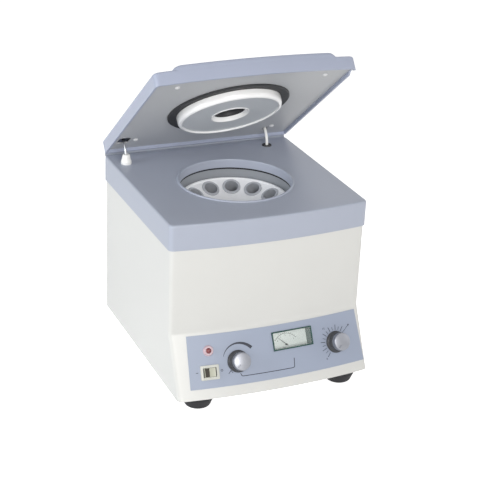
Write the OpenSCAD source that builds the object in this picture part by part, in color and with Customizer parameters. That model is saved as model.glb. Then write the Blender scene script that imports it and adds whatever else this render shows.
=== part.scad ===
// Bench centrifuge for milk fat tubes: a steel case with a sloping bowed front, a moulded deck and
// a hinged lid. It is drawn with the lid held open. Millimetres, front at -Y, table at Z = 0.

/* [Case] */
// Width of the deck and of the lid
width = 310; // [306:1:316]
// Depth of the deck along its sides
depth = 291; // [288:1:294]
// Height of the deck's top above the table
deck_z = 278; // [276:1:280]
// How far the bowed front stands ahead of its corners
bow = 11.5; // [10:0.5:13]
// Height of the deck's skirt
deck_skirt = 39; // [36:1:42]
// Height of the case's lower edge above the table
case_z = 19; // [18.5:0.5:19.5]
// Height at which the front starts to slope forward
knee_z = 107; // [105:1:109]
// How far the foot of the slope stands ahead of the upper front
flare = 44; // [42:1:46]
// Distance from the origin back to the middle of the deck
middle_y = 22; // [20:0.1:24]

/* [Lid] */
// Angle that the lid is open at rest
lid_open = 38.2; // [30:0.1:45]
// Height of the lid's skirt
lid_skirt = 20.5; // [19:0.5:22]
// Height of the raised part of the lid's top
crown = 6.5; // [5:0.5:8]
// Radius of the arc of the left stay
left_stay_r = 45; // [44:0.5:46]
// Radius of the arc of the right stay
right_stay_r = 34; // [33:0.5:35]

/* [Rotor] */
// Distance of the rotor's axis in front of the middle of the deck
rotor_ahead = 12; // [11:0.5:13]
// Number of tube places
places = 12; // [8:1:12]
// Radius of the circle of tube mouths
mouth_r = 66; // [65:0.5:67]
// Height of the tube mouths above the table
mouth_z = 241; // [240:0.5:242]
// Lean of the tubes
tube_lean = 30; // [28:1:31]
// Bearing angle of the first tube place
first_place = 71.7; // [60:0.1:90]
// Radius of the bore that holds a tube
tube_r = 10.4; // [10:0.1:11]
// Length of a tube sleeve below its flange
sleeve_len = 70; // [66:1:71]

/* [Controls] */
// Half the width of the control panel
panel_half = 136; // [133:1:137]
// Distance of the panel's middle to the right of the case's middle
panel_mid = 8; // [6:1:9]
// Distance of the panel's lower edge down the slope
panel_foot = 83; // [80:1:86]
// Place of the speed knob: across, and down the slope
speed_at = [-56.5, 49];
// Place of the timer knob: across, and down the slope
timer_at = [104.5, 47];
// Place of the lamp: across, and down the slope
lamp_at = [-99, 28.5];
// Place of the power switch: across, and down the slope
switch_at = [-101, 60];
// Width and height of the power switch's frame
switch_size = [28, 21.5];
// Place of the middle of the meter: across, and down the slope
meter_at = [33.5, 29];
// Width and height of the meter's window
meter_size = [62, 25];

/* [Hidden] */
$fn = 96;
sheet = 1.5;
deck_wall = 1.8;
deck_top = 3;
lid_wall = 3;
lid_roof = 2;
gap = 0.1;
deck_r = (width * width / 4 + bow * bow) / (2 * bow);
bow_y = -(depth / 2 + bow) + deck_r;
case_r = deck_r - 2;
case_half = width / 2 - 2;
case_back = depth / 2 - 2;
slope = atan(flare / (knee_z - case_z));
axis_y = -rotor_ahead;
hinge_y = depth / 2 + 3.4;
hinge_z = deck_z + 0.3;
hinge_pin_r = 1.5;
knuckle = 34;
knuckles = 9;
rim_z = deck_z + 0.5;
lid_top_z = rim_z + lid_skirt;
liner_z = rim_z + 5;
liner_t = 2;
deck_inner_z = deck_z - deck_top;
ledge_z = 256.5;
opening_r = 84.6;
collar_z = 266;
ring_z = 262;
bowl_r = 118;
bowl_floor_z = 165;
bowl_flange_r = 134;
bowl_screw_r = 127;
post_r = 5;
screw_r = 1.9;
hole_r = 2;
head_r = 3.8;
head_t = 2.4;
shaft_r = 5;
bore_r = 5.05;
hub_r = 18;
head_thick = 11.5;
hub_foot_z = 186;
hub_top_z = 217;
sleeve_r = 12.5;
flange_r = 14;
base_z = 20.5;
base_t = 2;
plate_z = 47.5;
motor_z = 50.5;
motor_top_z = 140;
motor_r = 46;
foot_ahead = 168;
foot_behind = 110;
foot_x = 115;
stay_x = [-134, 108];
stay_reach = 72;
boss_r = 80;
face_r = 74;
sight_r = 22;
cap_r = 13.5;
grip_r = 14.6;
skirt_r = 16.5;
pot_shaft_r = 3;
meter_deep = 32;
dial_deep = 17;
needle_at = [-4, -8];
needle_len = 18;

function arc(x, y, r, a0, a1, n) =
    [for (i = [1:n]) let (a = a0 + (a1 - a0) * i / n) [x + r * sin(a), y - r * cos(a)]];

// Plan of a case part: a bowed front about the bow's centre, straight sides and back, round corners
function plan(front_r, half, back, corner, rear) =
    let (turn = asin((half - corner) / (front_r - corner)),
         corner_y = bow_y - (front_r - corner) * cos(turn))
    concat(
        arc(0, bow_y, front_r, -turn, turn, 16),
        arc(half - corner, corner_y, corner, turn, 90, 5),
        arc(half - rear, back - rear, rear, 90, 180, 5),
        arc(rear - half, back - rear, rear, 180, 270, 5),
        arc(corner - half, corner_y, corner, 270, 360 - turn, 5));

// A solid through plans at rising heights
module loft(plans, heights) {
    n = len(plans[0]);
    m = len(plans);
    points = [for (k = [0:m - 1]) for (p = plans[k]) [p[0], p[1], heights[k]]];
    sides = [for (k = [0:m - 2]) for (i = [0:n - 1])
        let (a = k * n + i, b = k * n + (i + 1) % n)
        each [[a, a + n, b], [b, a + n, b + n]]];
    foot = [for (i = [0:n - 1]) i];
    top = [for (i = [n - 1:-1:0]) (m - 1) * n + i];
    polyhedron(points, concat(sides, [foot, top]));
}

module placed() {
    translate([0, middle_y, 0]) children();
}

// Turns a closed-lid part to where the open lid holds it
module on_lid() {
    placed() translate([0, hinge_y, hinge_z]) rotate([-lid_open, 0, 0])
        translate([0, -hinge_y, -hinge_z]) children();
}

module on_axis(z = 0) {
    placed() translate([0, axis_y, z]) children();
}

// Stands a part on the sloping front, z outwards and y up the slope
module on_front(at, lift = 0) {
    r = case_r + at[1] * sin(slope);
    placed() translate([0, bow_y, 0]) rotate([0, 0, asin(at[0] / r)])
        translate([0, -r, knee_z - at[1] * cos(slope)]) rotate([90 - slope, 0, 0])
            translate([0, 0, lift]) children();
}

module disc(r, h) {
    cylinder(r = r, h = h);
}

module tube(r, bore, h) {
    difference() {
        cylinder(r = r, h = h);
        translate([0, 0, -1]) cylinder(r = bore, h = h + 2);
    }
}

module block(size) {
    translate([-size[0] / 2, -size[1] / 2, 0]) cube(size);
}

module pan_screw(len) {
    cylinder(r = screw_r, h = len);
    translate([0, 0, -head_t]) cylinder(r1 = head_r - 0.8, r2 = head_r, h = head_t);
}

function case_plan(inset, z, back) =
    plan(case_r - inset + max(knee_z - z, 0) * tan(slope), case_half - inset, back, 7 - inset, 1.6);

// A solid with the case's outline, drawn in all round but at the back
module case_solid(inset, z0, z1, back) {
    zs = [z0, knee_z - 2, knee_z + 2, z1];
    loft([for (z = zs) case_plan(inset, z, back)], zs);
}

ledge_at = [for (x = [-1, 1]) for (y = [-98, 0, 112]) [x * (case_half - sheet - 8), y]];
bowl_screw_at = [for (a = [45:90:315]) bowl_screw_r * [cos(a), sin(a)]];
liner_screw_at = [for (x = [-1, 1]) for (y = [103, -119]) [x * 115, y]];
foot_at = [for (x = [-1, 1]) for (y = [-foot_ahead, foot_behind]) [x * foot_x, y]];
rear_screw_at = [for (x = [-1, 1]) for (z = [40, 135, 230]) [x * 144, z]];
lower_screw_at = [for (x = [-1, 1]) for (y = [-120, 0, 120]) [x * 146, y]];
mount_at = [for (a = [90, 210, 330]) 58 * [cos(a), sin(a)]];
inlet_at = [95, 70];
fuse_at = [40, 70];

module front_openings() {
    on_front(lamp_at, -12) disc(5.3, 24);
    on_front(switch_at, -12) block([22.6, 16.6, 24]);
    on_front(speed_at, -12) disc(5.3, 24);
    on_front(timer_at, -12) disc(5.3, 24);
    on_front(meter_at, -12) block([meter_size[0] + 3.4, meter_size[1] + 3.4, 24]);
}

module body_shell() {
    color([0.91, 0.91, 0.90]) difference() {
        placed() difference() {
            union() {
                difference() {
                    case_solid(0, case_z, deck_inner_z - gap, case_back);
                    case_solid(sheet, case_z - 1, deck_inner_z + 1, case_back + 10);
                }
                for (x = [-1, 1]) {
                    translate([x * (case_half - 8), 5, ledge_z - sheet]) block([15, 270, sheet]);
                    translate([x * (case_half - 7), -15, case_z]) block([12, 300, sheet]);
                    translate([x * (case_half - 7), case_back - sheet / 2, case_z])
                        block([12.6, sheet, deck_inner_z - gap - case_z]);
                }
            }
            for (p = ledge_at) translate([p[0], p[1], ledge_z - 3]) disc(hole_r, 6);
            for (p = lower_screw_at) translate([p[0], p[1], case_z - 1]) disc(hole_r, 4);
            for (p = rear_screw_at) translate([p[0], case_back + 2, p[1]]) rotate([90, 0, 0])
                disc(hole_r, 6);
        }
        front_openings();
    }
}

module rear_panel() {
    color([0.86, 0.86, 0.85]) placed() difference() {
        translate([0, case_back - sheet - gap - sheet / 2, 23]) block([299, sheet, 219]);
        translate([inlet_at[0], case_back, inlet_at[1] - 12.2]) block([29.4, 20, 24.4]);
        translate([fuse_at[0], case_back + 5, fuse_at[1]]) rotate([90, 0, 0]) disc(7.1, 20);
        for (p = rear_screw_at) translate([p[0], case_back + 2, p[1]]) rotate([90, 0, 0])
            disc(hole_r, 8);
        for (k = [0:9]) translate([-70, case_back, 60 + 9 * k]) block([80, 20, 4]);
    }
}

module base_plate() {
    color([0.75, 0.76, 0.77]) placed() difference() {
        intersection() {
            case_solid(sheet + gap, base_z, base_z + 200, case_back - 2 * sheet - 2 * gap);
            translate([0, 0, base_z]) block([400, 500, base_t]);
        }
        for (p = lower_screw_at) translate([p[0], p[1], base_z - 1]) disc(hole_r, 4);
        for (p = foot_at) translate([p[0], p[1], base_z - 1]) disc(hole_r + 0.5, 4);
    }
}

module rubber_feet() {
    color([0.10, 0.10, 0.11]) placed() for (p = foot_at) translate([p[0], p[1], 0])
        rotate_extrude() polygon(concat(
            [[2.6, 6], [8, 6], [8, 0], [15, 0]],
            [for (a = [15:15:75]) [15 + 5 * sin(a), 5 - 5 * cos(a)]],
            [[20.5, 5.5], [24, 14], [24, case_z - 0.2], [21, case_z - 0.2], [21, base_z],
             [2.6, base_z]]));
}

module foot_screws() {
    color([0.72, 0.73, 0.74]) placed() for (p = foot_at) translate([p[0], p[1], 6]) {
        translate([0, 0, -3]) disc(5, 3);
        disc(2.4, base_z - 6 + base_t + 4);
        translate([0, 0, base_z - 6 + base_t]) tube(5, 2.4, 3.2);
    }
}

module case_screws() {
    color([0.80, 0.81, 0.82]) placed() {
        for (p = lower_screw_at) translate([p[0], p[1], case_z]) pan_screw(6);
        for (p = rear_screw_at) translate([p[0], case_back, p[1]]) rotate([90, 0, 0]) pan_screw(7);
    }
}

function deck_plan(inset, corner, rear) =
    plan(deck_r - inset, width / 2 - inset, depth / 2 - inset, corner, rear);

module deck_cover() {
    skirt_z = deck_z - deck_skirt;
    steps = [[0, skirt_z], [0, deck_z - 3], [0.4, deck_z - 1.5], [1.3, deck_z - 0.5], [3, deck_z]];
    color([0.53, 0.56, 0.61]) placed() difference() {
        union() {
            difference() {
                loft([for (s = steps) deck_plan(s[0], 8, 3.5)], [for (s = steps) s[1]]);
                loft([for (i = [0, 1]) deck_plan(deck_wall, 6, 1.6)], [skirt_z - 1, deck_inner_z]);
            }
            for (p = ledge_at) translate([p[0], p[1], ledge_z + gap])
                disc(post_r, deck_inner_z - ledge_z + 1);
            for (p = bowl_screw_at) translate([p[0], axis_y + p[1], ring_z + gap])
                disc(post_r, deck_inner_z - ring_z + 1);
            translate([0, axis_y, 0]) rotate_extrude() polygon([
                [opening_r - 1, collar_z], [opening_r + 3, collar_z], [opening_r + 3, deck_z - 1],
                [opening_r + 4, deck_z - 1], [opening_r + 4, deck_z + 0.3],
                [opening_r + 3.6, deck_z + 1.2], [opening_r + 2.8, deck_z + 1.8],
                [opening_r + 1.9, deck_z + 1.9], [opening_r + 1, deck_z + 1.6],
                [opening_r + 0.3, deck_z + 0.8], [opening_r - 1, deck_z - 1]]);
        }
        translate([0, axis_y, collar_z - 1]) disc(opening_r, 20);
        for (p = ledge_at) translate([p[0], p[1], ledge_z - 1]) disc(hole_r, 14);
        for (p = bowl_screw_at) translate([p[0], axis_y + p[1], ring_z - 1]) disc(hole_r, 11);
        for (x = stay_x) translate([x, hinge_y - (x < 0 ? left_stay_r : right_stay_r), deck_z - 6])
            disc(6.1, 12);
    }
}

module deck_screws() {
    color([0.80, 0.81, 0.82]) placed() for (p = ledge_at)
        translate([p[0], p[1], ledge_z - sheet]) pan_screw(12);
}

module chamber_bowl() {
    color([0.78, 0.79, 0.80]) on_axis() difference() {
        rotate_extrude() polygon([
            [22, bowl_floor_z], [bowl_r - 8, bowl_floor_z], [bowl_r - 1, bowl_floor_z + 3],
            [bowl_r + sheet, bowl_floor_z + 10], [bowl_r + sheet, ring_z - 2 * sheet],
            [bowl_flange_r, ring_z - 2 * sheet], [bowl_flange_r, ring_z - sheet],
            [bowl_r, ring_z - sheet], [bowl_r, bowl_floor_z + 10.6],
            [bowl_r - 2, bowl_floor_z + 4.6], [bowl_r - 8.4, bowl_floor_z + sheet],
            [22 + sheet, bowl_floor_z + sheet], [22 + sheet, 181], [22, 181]]);
        for (p = bowl_screw_at) translate([p[0], p[1], ring_z - 5]) disc(hole_r, 6);
    }
}

module chamber_ring() {
    color([0.66, 0.68, 0.71]) on_axis() difference() {
        rotate_extrude() polygon([
            [86, 247], [86 + sheet, 247], [86 + sheet, ring_z - sheet + gap],
            [bowl_flange_r, ring_z - sheet + gap], [bowl_flange_r, ring_z],
            [86 + sheet, ring_z], [86 + sheet, 263.4], [86, 263.4]]);
        for (p = bowl_screw_at) translate([p[0], p[1], ring_z - 5]) disc(hole_r, 6);
    }
}

module chamber_seal() {
    color([0.13, 0.13, 0.14]) on_axis(263.5) tube(88.4, 85.2, 2.4);
}

module bowl_screws() {
    color([0.80, 0.81, 0.82]) placed() for (p = bowl_screw_at)
        translate([p[0], axis_y + p[1], ring_z - 2 * sheet - gap]) pan_screw(11);
}

module motor_mounts() {
    color([0.12, 0.12, 0.13]) on_axis() for (p = mount_at)
        translate([p[0], p[1], base_z + base_t]) rotate_extrude() polygon([
            [0, 0], [12, 0], [12, 4], [10.5, 8], [10.5, 17], [12, 21], [12, 25 - gap],
            [0, 25 - gap]]);
}

module motor_plate() {
    color([0.70, 0.71, 0.72]) on_axis(plate_z) tube(74, 15, 3 - gap);
}

module motor_housing() {
    color([0.30, 0.31, 0.33]) on_axis() rotate_extrude() polygon([
        [7, motor_z], [motor_r, motor_z], [motor_r, motor_top_z - 6], [43, motor_top_z - 6],
        [43, 55], [14, 55], [14, 64], [11, 64], [11, 54], [7, 54]]);
}

module motor_end_bell() {
    color([0.55, 0.56, 0.58]) on_axis() rotate_extrude() polygon([
        [11, motor_top_z - 4], [42.8, motor_top_z - 4], [42.8, motor_top_z - 6 + gap],
        [motor_r, motor_top_z - 6 + gap], [motor_r, motor_top_z], [18, motor_top_z + 3],
        [16, 151], [7, 151], [7, 149], [11, 149]]);
}

module motor_bearings() {
    color([0.80, 0.81, 0.82]) on_axis() for (z = [54.5, 140.5]) translate([0, 0, z])
        tube(10.95, bore_r, 8);
}

module motor_brushes() {
    color([0.20, 0.20, 0.21]) on_axis(120) for (s = [-1, 1])
        translate([s * 27.9, 0, 0]) block([29.8, 7, 8]);
}

module motor_magnets() {
    color([0.25, 0.25, 0.27]) on_axis(66) for (a = [45, 225]) rotate([0, 0, a])
        rotate_extrude(angle = 90) translate([39.6, 0]) square([3.3, 44]);
}

module motor_shaft() {
    color([0.75, 0.76, 0.78]) on_axis() {
        translate([0, 0, 54.6]) disc(shaft_r, hub_top_z - 54.6);
        translate([0, 0, hub_top_z]) disc(3.8, 10);
    }
}

module motor_armature() {
    color([0.62, 0.40, 0.24]) on_axis() {
        translate([0, 0, 67]) tube(38.6, bore_r, 42);
        translate([0, 0, 109]) tube(24, bore_r, 8);
        translate([0, 0, 117]) tube(12.6, bore_r, 14);
    }
}

module at_place(k) {
    on_axis() rotate([0, 0, first_place + 360 / places * k]) translate([mouth_r, 0, mouth_z])
        rotate([0, -tube_lean, 0]) children();
}

function dish_z(r) = mouth_z + (r - mouth_r) * tan(tube_lean);

module rotor_head() {
    color([0.90, 0.90, 0.91]) difference() {
        on_axis() rotate_extrude() polygon([
            [bore_r, hub_foot_z], [hub_r, hub_foot_z], [hub_r, dish_z(hub_r) - head_thick],
            [78, dish_z(78) - head_thick], [83, dish_z(78) - head_thick], [83.5, 246],
            [83, 250.5], [80.5, 250.5], [79.6, dish_z(79.6)], [hub_r, dish_z(hub_r)],
            [hub_r - 2, hub_top_z], [bore_r, hub_top_z]]);
        for (k = [0:places - 1]) at_place(k) {
            translate([0, 0, -40]) disc(sleeve_r + gap, 60);
            disc(flange_r + gap, 20);
        }
    }
}

module tube_sleeves() {
    color([0.80, 0.81, 0.83]) for (k = [0:places - 1]) at_place(k) rotate_extrude() polygon([
        [0, -sleeve_len], [sleeve_r - 2, -sleeve_len], [sleeve_r, 2 - sleeve_len], [sleeve_r, 0.05],
        [flange_r, 0.05], [flange_r, 1.4], [flange_r - 0.8, 2], [tube_r, 2],
        [tube_r, 3.5 - sleeve_len], [tube_r - 1.5, 1.5 - sleeve_len], [0, 1.5 - sleeve_len]]);
}

module rotor_nut() {
    color([0.72, 0.73, 0.75]) on_axis(hub_top_z) difference() {
        union() {
            disc(11, 2);
            translate([0, 0, 2]) cylinder(r = 8.5, h = 9, $fn = 6);
            translate([0, 0, 11]) cylinder(r1 = 7, r2 = 4, h = 3);
        }
        translate([0, 0, -1]) disc(3.85, 11.5);
    }
}

function crown_plan(inset, in) = plan(deck_r - inset, 127 - in, 124 - in, 10, 10);

module lid_shell() {
    edge = [[0, rim_z], [0, lid_top_z - 3], [0.9, lid_top_z - 0.9], [3, lid_top_z]];
    raised = [[0, 0, lid_top_z - 5], [0.2, 0, lid_top_z - 1], [1, 5, lid_top_z + crown - 1],
              [3, 7, lid_top_z + crown]];
    color([0.62, 0.64, 0.70]) on_lid() difference() {
        union() {
            difference() {
                union() {
                    loft([for (e = edge) deck_plan(e[0], 8, 3.5)], [for (e = edge) e[1]]);
                    loft([for (e = raised) crown_plan(e[0], e[1])], [for (e = raised) e[2]]);
                }
                loft([for (i = [0, 1]) deck_plan(lid_wall, 5, 2)], [rim_z - 1, lid_top_z - lid_roof]);
                loft([for (i = [0, 1]) crown_plan(6, 10)],
                     [lid_top_z - 6, lid_top_z + crown - lid_roof]);
            }
            for (p = liner_screw_at) translate([p[0], p[1], liner_z + liner_t + gap])
                disc(post_r, lid_top_z - liner_z - liner_t - 0.5);
        }
        for (p = liner_screw_at) translate([p[0], p[1], liner_z]) disc(hole_r, 12);
        translate([0, axis_y, lid_top_z]) disc(sight_r, 20);
        translate([0, axis_y, lid_top_z + crown - 1.1]) disc(27.2, 5);
        translate([width / 2 - 2, -128, rim_z - 1]) block([8, 20, 5]);
    }
}

module lid_liner() {
    color([0.69, 0.70, 0.71]) on_lid() difference() {
        loft([for (i = [0, 1]) deck_plan(lid_wall + 0.2, 5, 2)], [liner_z, liner_z + liner_t]);
        translate([0, axis_y, liner_z - 1]) disc(sight_r + 3, 5);
        for (p = liner_screw_at) translate([p[0], p[1], liner_z - 1]) disc(hole_r, 5);
        translate([stay_x[0], hinge_y - left_stay_r, liner_z - 1]) block([19, 24, 5]);
        translate([stay_x[1], hinge_y - right_stay_r + 1, liner_z - 1]) block([9, 14, 5]);
    }
}

module liner_screws() {
    color([0.85, 0.86, 0.87]) on_lid() for (p = liner_screw_at)
        translate([p[0], p[1], liner_z - gap]) pan_screw(10);
}

module lid_seal() {
    color([0.10, 0.10, 0.11]) on_lid() translate([0, axis_y, 0]) rotate_extrude() polygon([
        [boss_r + 0.2, liner_z - gap], [boss_r + 0.2, rim_z + 2.8], [boss_r + 1.4, rim_z + 2],
        [92, rim_z + 2], [93.5, rim_z + 3.2], [93.5, liner_z - gap]]);
}

module splash_ring() {
    color([0.95, 0.95, 0.96]) on_lid() translate([0, axis_y, 0]) rotate_extrude() polygon([
        [boss_r - 3, liner_z - gap], [boss_r, liner_z - gap], [boss_r, 274.5], [boss_r - 0.6, 271.5],
        [boss_r - 2.2, 269.4], [boss_r - 4.4, 268.5], [face_r, 268.7], [face_r - 0.6, 269.6],
        [face_r - 0.6, 271], [boss_r - 3, 271]]);
}

module splash_plate() {
    color([0.74, 0.76, 0.78]) on_lid() translate([0, axis_y, 271 + gap]) tube(boss_r - 3.2, 28.2, 2);
}

module sight_funnel() {
    color([0.96, 0.96, 0.97]) on_lid() translate([0, axis_y, 0]) rotate_extrude() polygon([
        [28, 270], [30, 270], [30, 271], [28.1, 271], [28.1, 273.2], [sight_r + 2, 282],
        [sight_r + 2, lid_top_z + crown - lid_roof - gap],
        [sight_r, lid_top_z + crown - lid_roof - gap],
        [sight_r, 281.5], [26.3, 272.5]]);
}

module sight_window() {
    color([0.12, 0.12, 0.13]) on_lid() translate([0, axis_y, lid_top_z + crown - 1]) disc(27, 1);
}

// The first knuckle of a hinge leaf and every second one after it, bored for the pin
module hinge_knuckles(first) {
    for (k = [first:2:knuckles - 1])
        placed() translate([(k - knuckles / 2) * knuckle + 0.15, hinge_y, hinge_z])
            rotate([0, 90, 0]) tube(3, hinge_pin_r + 0.05, knuckle - 0.3);
}

// A hinge leaf from the pin's height to its foot, notched round the other leaf's knuckles
module hinge_leaf(first, foot) {
    difference() {
        translate([0, depth / 2 + 0.7, hinge_z + min(foot, 0)])
            block([knuckles * knuckle, 1.2, abs(foot)]);
        for (k = [1 - first:2:knuckles - 1])
            translate([(k + 0.5 - knuckles / 2) * knuckle, depth / 2 + 0.7, hinge_z - 4])
                block([knuckle + 0.7, 3, 8]);
    }
}

module hinge_deck_leaf() {
    color([0.53, 0.56, 0.61]) {
        hinge_knuckles(0);
        placed() hinge_leaf(0, -20);
    }
}

module hinge_lid_leaf() {
    color([0.53, 0.56, 0.61]) {
        hinge_knuckles(1);
        on_lid() hinge_leaf(1, 15);
    }
}

module hinge_pin() {
    color([0.62, 0.63, 0.64]) placed() translate([-knuckles * knuckle / 2, hinge_y, hinge_z])
        rotate([0, 90, 0]) disc(hinge_pin_r, knuckles * knuckle);
}

// A rod bent to an arc about the hinge, from one angle below the lid's plane to another
module stay_arc(x, r, rod, from, to) {
    translate([x, hinge_y, hinge_z]) rotate([0, -90, 0]) rotate([0, 0, -90 - to])
        rotate_extrude(angle = to - from) translate([r, 0]) circle(r = rod, $fn = 48);
}

module stay_boot() {
    r = left_stay_r;
    color([0.95, 0.95, 0.95]) placed() difference() {
        translate([stay_x[0], hinge_y - r, 0]) rotate_extrude() polygon([
            [0, deck_z - 5], [6, deck_z - 5], [6, deck_z], [8.3, deck_z], [8.3, deck_z + 4],
            [7, deck_z + 7], [6.2, deck_z + 11], [5.6, deck_z + 14], [4.4, deck_z + 15],
            [0, deck_z + 15]]);
        stay_arc(stay_x[0], r, 2.1, -40, 20);
    }
}

module stay_guide() {
    r = right_stay_r;
    color([0.20, 0.20, 0.21]) placed() difference() {
        translate([stay_x[1], hinge_y - r, 0]) rotate_extrude() polygon([
            [0, deck_z - 5], [6, deck_z - 5], [6, deck_z], [8, deck_z], [7.4, deck_z + 1.5],
            [0, deck_z + 1.5]]);
        stay_arc(stay_x[1], r, 2.6, -40, 20);
    }
}

// Angle above the lid's rim at which a stay ends inside the lid
function stay_rise(r) = asin((lid_top_z - lid_roof - 1.2 - hinge_z) / r);

module left_stay_rod() {
    color([0.60, 0.61, 0.63]) on_lid()
        stay_arc(stay_x[0], left_stay_r, 1.8, -stay_rise(left_stay_r), stay_reach);
}

module right_stay_rod() {
    color([0.93, 0.93, 0.93]) on_lid()
        stay_arc(stay_x[1], right_stay_r, 2.3, -stay_rise(right_stay_r), stay_reach);
}

module stay_brackets() {
    radii = [left_stay_r, right_stay_r];
    color([0.45, 0.46, 0.48]) on_lid() difference() {
        for (i = [0, 1])
            translate([stay_x[i], hinge_y - radii[i] * cos(stay_rise(radii[i])),
                       lid_top_z - lid_roof - 3.5]) block([13, 16, 3.4]);
        stay_arc(stay_x[0], left_stay_r, 1.85, -30, 20);
        stay_arc(stay_x[1], right_stay_r, 2.35, -40, 20);
    }
}

// A ring segment that lies on the sloping front, between two depths down the slope
module front_plate(mid, half, d0, d1, lift, thick) {
    turn = asin(half / case_r);
    r0 = case_r + d0 * sin(slope) + lift * cos(slope);
    z0 = knee_z - d0 * cos(slope) + lift * sin(slope);
    run = (d1 - d0) * sin(slope);
    drop = (d1 - d0) * cos(slope);
    placed() translate([0, bow_y, 0]) rotate([0, 0, asin(mid / case_r) - 90 - turn])
        rotate_extrude(angle = 2 * turn) polygon([
            [r0, z0], [r0 + run, z0 - drop],
            [r0 + run + thick * cos(slope), z0 - drop + thick * sin(slope)],
            [r0 + thick * cos(slope), z0 + thick * sin(slope)]]);
}

module control_panel() {
    color([0.66, 0.71, 0.77]) difference() {
        front_plate(panel_mid, panel_half, 5, panel_foot, 0.1, 1.2);
        front_openings();
    }
}

module lamp_bezel() {
    color([0.88, 0.80, 0.80]) on_front(lamp_at, 1.4) difference() {
        union() {
            cylinder(r1 = 8, r2 = 6.6, h = 2.6);
            translate([0, 0, -18]) disc(5, 18.5);
        }
        translate([0, 0, -16]) disc(4.1, 30);
    }
}

module lamp_lens() {
    color([0.75, 0.10, 0.10]) on_front(lamp_at, 1.4) {
        translate([0, 0, -8]) disc(4, 10);
        translate([0, 0, 2]) intersection() {
            translate([0, 0, -3]) sphere(r = 5);
            disc(4, 3);
        }
    }
}

module switch_frame() {
    color([0.80, 0.79, 0.72]) on_front(switch_at, 1.45) difference() {
        union() {
            block([switch_size[0], switch_size[1], 2]);
            translate([0, 0, -20]) block([22, 16, 20.5]);
        }
        translate([0, 0, -9]) block([20, 13.6, 12]);
    }
}

module switch_rocker() {
    color([0.86, 0.84, 0.74]) on_front(switch_at, 1.45) difference() {
        translate([0, 6.5, 0]) rotate([90, 0, 0]) linear_extrude(13) polygon([
            [-8, -2.4], [8, -2.4], [8.7, 0.9], [8.6, 1.6], [0, 2.6], [-8.4, 4.2], [-8.8, 3.2]]);
        translate([0, 10, -0.6]) rotate([90, 0, 0]) disc(1.0, 20);
    }
}

module knob_skirt(at) {
    on_front(at, 2.2) difference() {
        union() {
            cylinder(r1 = skirt_r, r2 = skirt_r - 1.2, h = 3.2);
            translate([0, 0, 3]) cylinder(r1 = grip_r, r2 = grip_r - 0.7, h = 9.5);
            translate([0, 0, 12]) disc(11.6, 6);
        }
        translate([0, 0, 2]) disc(pot_shaft_r + 0.05, 13);
        translate([0, 0, -1]) disc(9, 3);
    }
}

module knob_cap(at) {
    on_front(at, 2.2) difference() {
        union() {
            translate([0, 0, 12.6]) cylinder(r1 = cap_r, r2 = cap_r - 0.8, h = 7.4);
            translate([0, 0, 20]) cylinder(r1 = cap_r - 0.8, r2 = cap_r - 2.2, h = 1.4);
        }
        translate([0, 0, 12]) disc(11.7, 6.2);
        rotate([0, 0, 135]) translate([-0.6, 6, 20.6]) cube([1.2, 8, 3]);
    }
}

module speed_knob_skirt() {
    color([0.16, 0.17, 0.19]) knob_skirt(speed_at);
}

module speed_knob_cap() {
    color([0.78, 0.79, 0.80]) knob_cap(speed_at);
}

module timer_knob_skirt() {
    color([0.16, 0.17, 0.19]) knob_skirt(timer_at);
}

module timer_knob_cap() {
    color([0.78, 0.79, 0.80]) knob_cap(timer_at);
}

// The fixed unit behind a knob, with its threaded neck and its shaft
module knob_unit(at, r, len) {
    on_front(at) {
        translate([0, 0, -len - 2.2]) disc(r, len);
        translate([0, 0, -2.4]) disc(4.9, 6.1);
        translate([0, 0, 3]) disc(pot_shaft_r, 13);
    }
}

module speed_control() {
    color([0.30, 0.31, 0.32]) knob_unit(speed_at, 14, 12);
}

module timer_unit() {
    color([0.35, 0.36, 0.37]) knob_unit(timer_at, 20, 26);
}

module control_nuts() {
    color([0.75, 0.76, 0.77]) for (at = [speed_at, timer_at]) on_front(at, 1.45) difference() {
        cylinder(r = 7.2, h = 2, $fn = 6);
        translate([0, 0, -1]) disc(4.95, 5);
    }
}

module meter_case() {
    w = meter_size[0];
    h = meter_size[1];
    color([0.10, 0.22, 0.18]) on_front(meter_at, 1.45) difference() {
        translate([0, 0, -meter_deep]) block([w + 3, h + 3, meter_deep + 1.2]);
        translate([0, 0, -0.2]) block([w, h, 5]);
        translate([0, 0, -dial_deep]) block([w - 1, h - 1, 40]);
        translate([0, 0, -meter_deep + 2]) block([w - 8, h - 1, 40]);
    }
}

module meter_dial() {
    color([0.88, 0.92, 0.90]) on_front(meter_at, 1.45 - dial_deep) difference() {
        block([meter_size[0] - 1.2, meter_size[1] - 1.2, 1]);
        translate([needle_at[0], needle_at[1], -1]) disc(1.6, 3);
    }
}

module meter_window() {
    color([0.85, 0.95, 0.93, 0.35]) on_front(meter_at, 1.35)
        block([meter_size[0] - 0.2, meter_size[1] - 0.2, 1.1]);
}

// The needle turns about a pin through the dial, on a coil drum behind it
module meter_needle() {
    color([0.08, 0.08, 0.09]) on_front(meter_at, 1.45 - dial_deep)
        translate([needle_at[0], needle_at[1], 0]) {
            translate([0, 0, -4]) disc(1.2, 8);
            translate([0, 0, -9]) disc(3.2, 5);
            rotate([0, 0, 48]) translate([-0.35, 0, 2.6]) cube([0.7, needle_len, 0.8]);
        }
}

module control_board() {
    color([0.16, 0.38, 0.24]) placed() {
        translate([-95, 40, base_z + base_t + 8]) block([80, 100, 1.6]);
        for (x = [-1, 1]) for (y = [-1, 1])
            translate([-95 + x * 34, 40 + y * 44, base_z + base_t]) disc(3, 8.5);
        translate([-110, 20, base_z + base_t + 9]) disc(9, 26);
        translate([-84, 62, base_z + base_t + 9]) block([30, 14, 22]);
    }
}

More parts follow.
